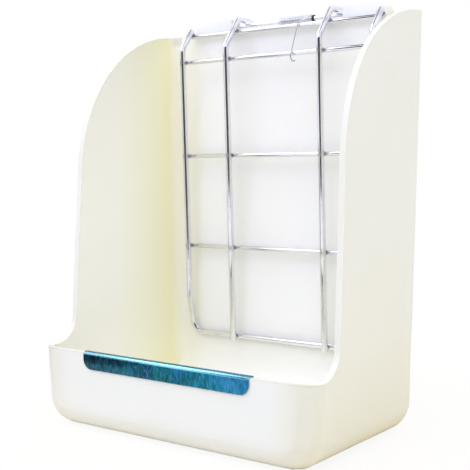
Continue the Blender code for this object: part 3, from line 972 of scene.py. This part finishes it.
def wing_rim_shade_mask(tree, place, facing):
    """The narrow rims of the two wings, which face neither side, where a painted shade goes."""
    beside_box = (76 * mm, 78 * mm)
    above_lip = (lip_height - mm, lip_height + mm)
    ahead_of_rear = (rear_y - 14 * mm, rear_y - 18 * mm)
    at_top = (box_height - 7 * mm, box_height - 4 * mm)
    x, y, z = axes(tree, place)
    facing_x = axes(tree, facing)[0]
    across = ranged(tree, maths(tree, "ABSOLUTE", facing_x), 0.92, 0.70)
    beside = ranged(tree, maths(tree, "ABSOLUTE", x), *beside_box)
    on_curve = maths(tree, "MAXIMUM", ranged(tree, y, *ahead_of_rear), ranged(tree, z, *at_top))
    return product(tree, across, beside, product(tree, ranged(tree, z, *above_lip), on_curve))


def ivory_plastic():
    material, tree, shader, place = start_material("ivory_plastic")
    facing = add(tree, "ShaderNodeTexCoord").outputs["Normal"]
    clouds = smudged(tree, place, 14.0)
    marks = smudged(tree, place, 60.0)
    rims = use_group(tree, edge_shade_and_highlight, place, Width=1.6 * mm)["Mask"]
    scuffs = use_group(tree, scratches, place, Size=120.0, Stretch=0.12, Amount=0.25)["Mask"]
    fine = use_group(tree, grain, place, Size=1300.0)["Height"]
    x, y, z = axes(tree, place)
    aside = maths(tree, "ABSOLUTE", x)
    on_ears = ranged(tree, z, box_height - 1.5 * mm, box_height + mm)
    on_front = ranged(tree, y, front_y + 12 * mm, front_y + mm)
    at_front_ends = ranged(tree, aside, 66 * mm, 82 * mm)
    # Painted shade: the upper middle of the back wall darker
    upper_wall_shade = product(tree, ranged(tree, y, wall_face_y - 9 * mm, wall_face_y),
                         ranged(tree, axes(tree, facing)[1], 0.0, -1.0),
                         ranged(tree, z, 55 * mm, 130 * mm),
                         ranged(tree, aside, 62 * mm, 25 * mm))
    body = mixed(tree, clouds, ivory, ivory_cloud)
    # Painted shade: yellower in the two rear inner corners
    body = mixed(tree, corner_shade_mask(tree, place, facing), body, ivory_corner_shade)
    # Painted shade: the ears slightly greyer
    body = mixed(tree, on_ears, body, ivory_ear_shade)
    # Painted shade: the edges darker and warmer
    body = marked(tree, body, rims, 0.7, ivory_edge_shade)
    # Painted shade: the wing rims darker and warmer
    body = mixed(tree, wing_rim_shade_mask(tree, place, facing), body, ivory_wing_rim_shade)
    body = marked(tree, body, scuffs, 0.12, ivory_scuff)
    # Painted shade: the outer front darker, and warmer at its two ends where it rounds into the
    # sides
    front_shade = mixed(tree, at_front_ends, front_middle_shade, front_end_shade)
    body = mixed(tree, on_front, body, front_shade, "MULTIPLY")
    body = mixed(tree, upper_wall_shade, body, upper_wall_shade_tone, "MULTIPLY")
    rough = share_over(tree, scuffs, 0.10, share_over(tree, marks, 0.08, 0.36))
    surface(tree, shader, body, rough, {"IOR": 1.48, "Specular IOR Level": 0.3})
    waves = mottle(tree, place, 26.0, 1.0)
    first = bump(tree, shader, waves, 0.5 * mm, 0.35)
    bump(tree, shader, fine, 0.04 * mm, 0.5, first)
    return material


def plated_wire(name, turn, welded):
    """Bright plating over drawn wire; turn lays the drawing marks along the wire."""
    material, tree, shader, place = start_material(name)
    laid = add(tree, "ShaderNodeMapping", {"Vector": place, "Rotation": turn}).outputs[0]
    drawn = use_group(tree, scratches, laid, Size=900.0, Stretch=0.02, Amount=0.45)
    blush = smudged(tree, place, 75.0)
    marks = smudged(tree, place, 260.0)
    body = marked(tree, plating, blush, 0.6, plating_blush)
    body = marked(tree, body, drawn["Mask"], 0.25, plating_drawn)
    rough = share_over(tree, drawn["Mask"], 0.08, share_over(tree, marks, 0.06, 0.10))
    if welded:
        # Darker on the wires beside the welded crossings
        near_weld = use_group(tree, weld_side_darkening, place, Reach=3.0 * mm)["Mask"]
        body = marked(tree, body, near_weld, 0.65, weld_side_dark)
        rough = share_over(tree, near_weld, 0.3, rough)
    surface(tree, shader, body, rough, {"Metallic": 1.0})
    bump(tree, shader, drawn["Height"], 0.03 * mm, 0.35)
    return material


def weld_metal():
    material, tree, shader, place = start_material("weld_metal")
    pits = mottle(tree, place, 1400.0, 4.0)
    tone = smudged(tree, place, 500.0)
    body = mixed(tree, tone, bead_dark, bead_light)
    surface(tree, shader, body, share_over(tree, pits, 0.25, 0.25), {"Metallic": 1.0})
    bump(tree, shader, pits, 0.2 * mm, 0.5)
    return material


def spring_steel():
    """Bright wire in the coil, and the same wire painted darker in the legs below it as painted
    shade.
    """
    material, tree, shader, place = start_material("spring_steel")
    marks = smudged(tree, place, 420.0)
    fine = use_group(tree, grain, place, Size=2600.0)["Height"]
    coil = mixed(tree, marks, coil_steel, coil_steel_light)
    at_coil = ranged(tree, axes(tree, place)[2], rod_z - 4.5 * mm, rod_z - 2.0 * mm)
    # Painted shade: the legs darker than the coil
    body = mixed(tree, at_coil, leg_steel_shade, coil)
    surface(tree, shader, body, share_over(tree, marks, 0.12, 0.28), {"Metallic": 1.0})
    bump(tree, shader, fine, 0.02 * mm, 0.4)
    return material


def black_rubber():
    material, tree, shader, place = start_material("black_rubber")
    fine = use_group(tree, grain, place, Size=3000.0)["Height"]
    dust = smudged(tree, place, 900.0)
    body = mixed(tree, dust, rubber_black, rubber_dusty)
    surface(tree, shader, body, share_over(tree, dust, 0.2, 0.45))
    bump(tree, shader, fine, 0.05 * mm, 0.5)
    return material


def blue_sheet():
    """Blue lacquered sheet with a crystal pattern showing through."""
    crystal_height_scale = 0.36
    crystal_wander = 0.0022
    painted_brightening = (-45 * mm, 50 * mm)
    fold_starts = (41.6 * mm, 42.0 * mm)
    fold_ends = (43.4 * mm, 43.0 * mm)
    fold_front = (-54.5 * mm, -55.0 * mm)
    material, tree, shader, place = start_material("blue_sheet_metal")
    tall = add(tree, "ShaderNodeMapping",
               {"Vector": place, "Scale": (1.0, 1.0, crystal_height_scale)}).outputs[0]
    wander = mottle(tree, tall, 320.0, 3.0, result="Color")
    shifted = add(tree, "ShaderNodeVectorMath", operation="MULTIPLY_ADD")
    for socket, value in zip(shifted.inputs, (wander, (crystal_wander,) * 3, tall)):
        put(tree, value, socket)
    shifted = shifted.outputs[0]
    crystals = add(tree, "ShaderNodeTexVoronoi", {"Vector": shifted, "Scale": 820.0})
    shade, shine, lift = add(tree, "ShaderNodeSeparateColor",
                             {"Color": crystals.outputs["Color"]}).outputs
    x, y, z = axes(tree, place)
    # Painted shade and highlight: darker at the left end, brighter at the right end
    along = ranged(tree, x, *painted_brightening)
    patches = mottle(tree, place, 70.0, 4.0, 0.65)
    level = share_over(tree, shade, 0.30, product(tree, ranged(tree, patches, 0.30, 0.70), 0.34))
    ramp = add(tree, "ShaderNodeValToRGB", {"Fac": share_over(tree, along, 0.46, level)})
    stops = ramp.color_ramp.elements
    stops[0].position, stops[0].color = guard_shades[0]
    stops[1].position, stops[1].color = guard_shades[-1]
    for position, colour in guard_shades[1:-1]:
        stops.new(position).color = colour
    hue = mottle(tree, shifted, 150.0)
    tint = mixed(tree, ranged(tree, hue, 0.42, 0.62), guard_green_tint, guard_violet_tint)
    tint_share = maths(tree, "SUBTRACT", 0.9, product(tree, along, 0.55))
    body = mixed(tree, tint_share, ramp.outputs["Color"], tint, "MULTIPLY")
    specks = mottle(tree, tall, 1100.0)
    body = mixed(tree, ranged(tree, specks, 0.56, 0.74, 0.0, 0.55), body, guard_speck)
    # Painted highlight: a bright cyan line along the front fold
    fold = product(tree, ranged(tree, z, *fold_starts), ranged(tree, z, *fold_ends),
                   ranged(tree, y, *fold_front))
    body = marked(tree, body, fold, 0.92, guard_fold_highlight)
    rims = use_group(tree, edge_shade_and_highlight, place, Width=0.5 * mm)["Mask"]
    # Painted highlight: the guard's edges lighter blue
    body = marked(tree, body, rims, 0.4, guard_edge_highlight)
    lines = use_group(tree, scratches, place, Size=500.0, Stretch=0.05, Amount=0.3)["Mask"]
    rough = share_over(tree, lines, 0.1, share_over(tree, shine, 0.14, 0.20))
    surface(tree, shader, body, rough,
            {"Metallic": 0.92, "Coat Weight": 0.06, "Coat Roughness": 0.10})
    bump(tree, shader, lift, 0.03 * mm, 0.35)
    return material


# Studio floor
floor_radius = 6.0
floor_drop = 0.2 * mm
floor_white_share = 0.90
warm_reach = (0.10, 0.32)
floor_warm = (0.90, 0.84, 0.66, 1)
floor_warm_cloud = (0.92, 0.865, 0.69, 1)
floor_far = (0.92, 0.92, 0.92, 1)
white = (1, 1, 1, 1)

# Dark card, as distances from the feeder and turns about it, and the two bars above
card_distance = 0.6
card_height = 0.46
card_start_degrees = -110
card_turn_degrees = 80
skirt_points = ((0.22, mm), (0.6, mm), (0.6, 0.1))
skirt_start_degrees = -170
skirt_turn_degrees = 42
card_shift = (0, 0.04, 0)
bars = (
    ((-0.15, -0.35, 0.95), 0, (0.30, 0.9)),
    ((0.62, 0.07, 0.52), math.pi / 2, (0.3, 0.14)),
)
card_dark = (0.025, 0.028, 0.050, 1)
card_warm = (0.125, 0.105, 0.100, 1)

# Where the soft studio light comes from, and its colour
sky_patches = (
    ((0.12, -0.68, 0.72), (1.12, 1.16, 1.60, 1)),
    ((-0.80, -0.50, 0.35), (0.06, 0.06, 0.08, 1)),
    ((0.00, 0.00, 1.00), (1.08, 1.08, 0.80, 1)),
    ((-0.50, -0.50, 0.70), (0.14, 0.18, 0.50, 1)),
    ((0.60, 0.10, 0.80), (0.13, 0.11, 0.02, 1)),
    ((-0.40, 0.90, 0.10), (0.30, 0.30, 0.31, 1)),
)
sky_patch_edge = 0.3
sky_base = (0.0, 0.0, 0.0, 1)
sky_mirrored = (0.97, 0.97, 1.02, 1)
sky_mirrored_top = (1.06, 1.07, 1.14, 1)
soft_box = (-0.60, -0.40, 0.69)
soft_box_edge = (0.93, 0.96)
soft_box_light = (2.0, 2.05, 2.15, 1)

# Lamp
key_energy = 0.9
key_colour = (0.94, 0.94, 1.0)
key_size = 0.2
key_aim = Vector((0, 0, 0.12))
key_towards = Vector((-0.60, -0.50, 0.625)).normalized()
key_distance = 1.2

# Camera, solved from the photograph
camera_lens = 74.18
camera_sensor = 36.0
camera_near = 0.01
camera_place = (0.321455, -0.414581, 0.135777)
camera_pitch_degrees = 90 - 3.361
camera_yaw_degrees = 37.49


# Studio

def make_floor():
    bm = bmesh.new()
    bmesh.ops.create_circle(bm, cap_ends=True, segments=96, radius=floor_radius)
    bmesh.ops.translate(bm, vec=(0, 0, -floor_drop), verts=bm.verts)
    mesh = mesh_from(bm, "studio_floor")
    floor = loose_object("studio_floor", mesh)
    material, tree, shader, place = start_material("pale_floor")
    away = add(tree, "ShaderNodeVectorMath", operation="LENGTH")
    put(tree, place, away.inputs[0])
    far = ranged(tree, away.outputs["Value"], *warm_reach)
    clouds = smudged(tree, place, 6.0)
    near_colour = mixed(tree, clouds, floor_warm, floor_warm_cloud)
    surface(tree, shader, mixed(tree, far, near_colour, floor_far), 0.6)
    glow = add(tree, "ShaderNodeEmission", {"Color": white, "Strength": 1.0})
    seen = add(tree, "ShaderNodeLightPath").outputs["Is Camera Ray"]
    mix = add(tree, "ShaderNodeMixShader")
    parts = (product(tree, seen, floor_white_share), shader.outputs[0], glow.outputs[0])
    for socket, value in zip(mix.inputs, parts):
        put(tree, value, socket)
    put(tree, mix.outputs[0], tree.nodes["Material Output"].inputs["Surface"])
    mesh.materials.append(material)


def turned_about(bm, points, start_degrees, turn_degrees, steps):
    """A wall spun about Z from a line of points, each a distance and a height."""
    start = math.radians(start_degrees)
    line = [bm.verts.new((reach * math.cos(start), reach * math.sin(start), z))
            for reach, z in points]
    line += [bm.edges.new(ends) for ends in zip(line, line[1:])]
    bmesh.ops.spin(bm, geom=line, cent=(0, 0, 0), axis=(0, 0, 1),
                   angle=math.radians(turn_degrees), steps=steps)


def make_card():
    """A curved dark card in front and two bars above, seen only in reflections.

    They give the uprights their dark band and the sloping tops their thin dark line.
    """
    bm = bmesh.new()
    turned_about(bm, ((card_distance, 0), (card_distance, card_height)), card_start_degrees,
                 card_turn_degrees, 24)
    turned_about(bm, skirt_points, skirt_start_degrees, skirt_turn_degrees, 12)
    for centre, turn, (width, depth) in bars:
        placing = Matrix.Translation(centre) @ Matrix.Rotation(turn, 4, "Y")
        bmesh.ops.create_grid(bm, x_segments=1, y_segments=1, size=0.5,
                              matrix=placing @ Matrix.Diagonal((width, depth, 1, 1)))
    bmesh.ops.translate(bm, vec=card_shift, verts=bm.verts)
    mesh = mesh_from(bm, "dark_card")
    card = loose_object("dark_card", mesh)
    material, tree, shader, place = start_material("dark_card")
    folds = mottle(tree, place, 9.0, 4.0)
    surface(tree, shader, mixed(tree, folds, card_dark, card_warm), 0.9)
    mesh.materials.append(material)
    for rays in ("camera", "diffuse", "shadow", "transmission"):
        setattr(card, "visible_" + rays, False)


def make_world():
    world = bpy.data.worlds.new("studio_world")
    bpy.context.scene.world = world
    world.use_nodes = True
    tree = world.node_tree
    tree.nodes.clear()
    direction = add(tree, "ShaderNodeTexCoord").outputs["Generated"]
    path = add(tree, "ShaderNodeLightPath")
    soft = sky_base
    for towards, colour in sky_patches:
        facing = dot(tree, direction, Vector(towards).normalized())
        soft = mixed(tree, ranged(tree, facing, sky_patch_edge, 1.0), soft, colour, "ADD")
    upper = ranged(tree, axes(tree, direction)[2], 0.0, 0.8)
    mirrored = mixed(tree, upper, sky_mirrored, sky_mirrored_top)
    in_box = ranged(tree, dot(tree, direction, Vector(soft_box).normalized()), *soft_box_edge)
    mirrored = mixed(tree, in_box, mirrored, soft_box_light, "ADD")
    lighting = mixed(tree, path.outputs["Is Glossy Ray"], soft, mirrored)
    seen = mixed(tree, path.outputs["Is Camera Ray"], lighting, white)
    background = add(tree, "ShaderNodeBackground", {"Color": seen, "Strength": 1.0})
    output = add(tree, "ShaderNodeOutputWorld")
    put(tree, background.outputs[0], output.inputs["Surface"])


def make_key_light():
    lamp = bpy.data.lights.new("window_light", "AREA")
    lamp.shape = "SQUARE"
    lamp.size = key_size
    lamp.energy = key_energy
    lamp.color = key_colour
    light = loose_object("window_light", lamp)
    light.location = key_aim + key_towards * key_distance
    light.rotation_euler = key_towards.to_track_quat("Z", "Y").to_euler()
    light.visible_glossy = False


def make_camera():
    lens = bpy.data.cameras.new("photo_camera")
    lens.sensor_width = camera_sensor
    lens.sensor_fit = "HORIZONTAL"
    lens.lens = camera_lens
    lens.clip_start = camera_near
    camera = loose_object("photo_camera", lens)
    camera.location = camera_place
    camera.rotation_euler = (math.radians(camera_pitch_degrees), 0,
                             math.radians(camera_yaw_degrees))
    bpy.context.scene.camera = camera


bpy.context.scene.view_settings.view_transform = "Standard"

quarter_turn = (0, math.pi / 2, 0)
upright_plating = plated_wire("plated_upright", (0, 0, 0), True)
cross_plating = plated_wire("plated_cross_wire", quarter_turn, True)
rod_plating = plated_wire("plated_rod", quarter_turn, False)

make_moulding(ivory_plastic())
make_guard(blue_sheet())
make_grill(upright_plating, cross_plating, weld_metal())
make_spring(spring_steel())
make_rod(rod_plating)
make_ring(black_rubber())

make_floor()
make_card()
make_world()
make_key_light()
make_camera()
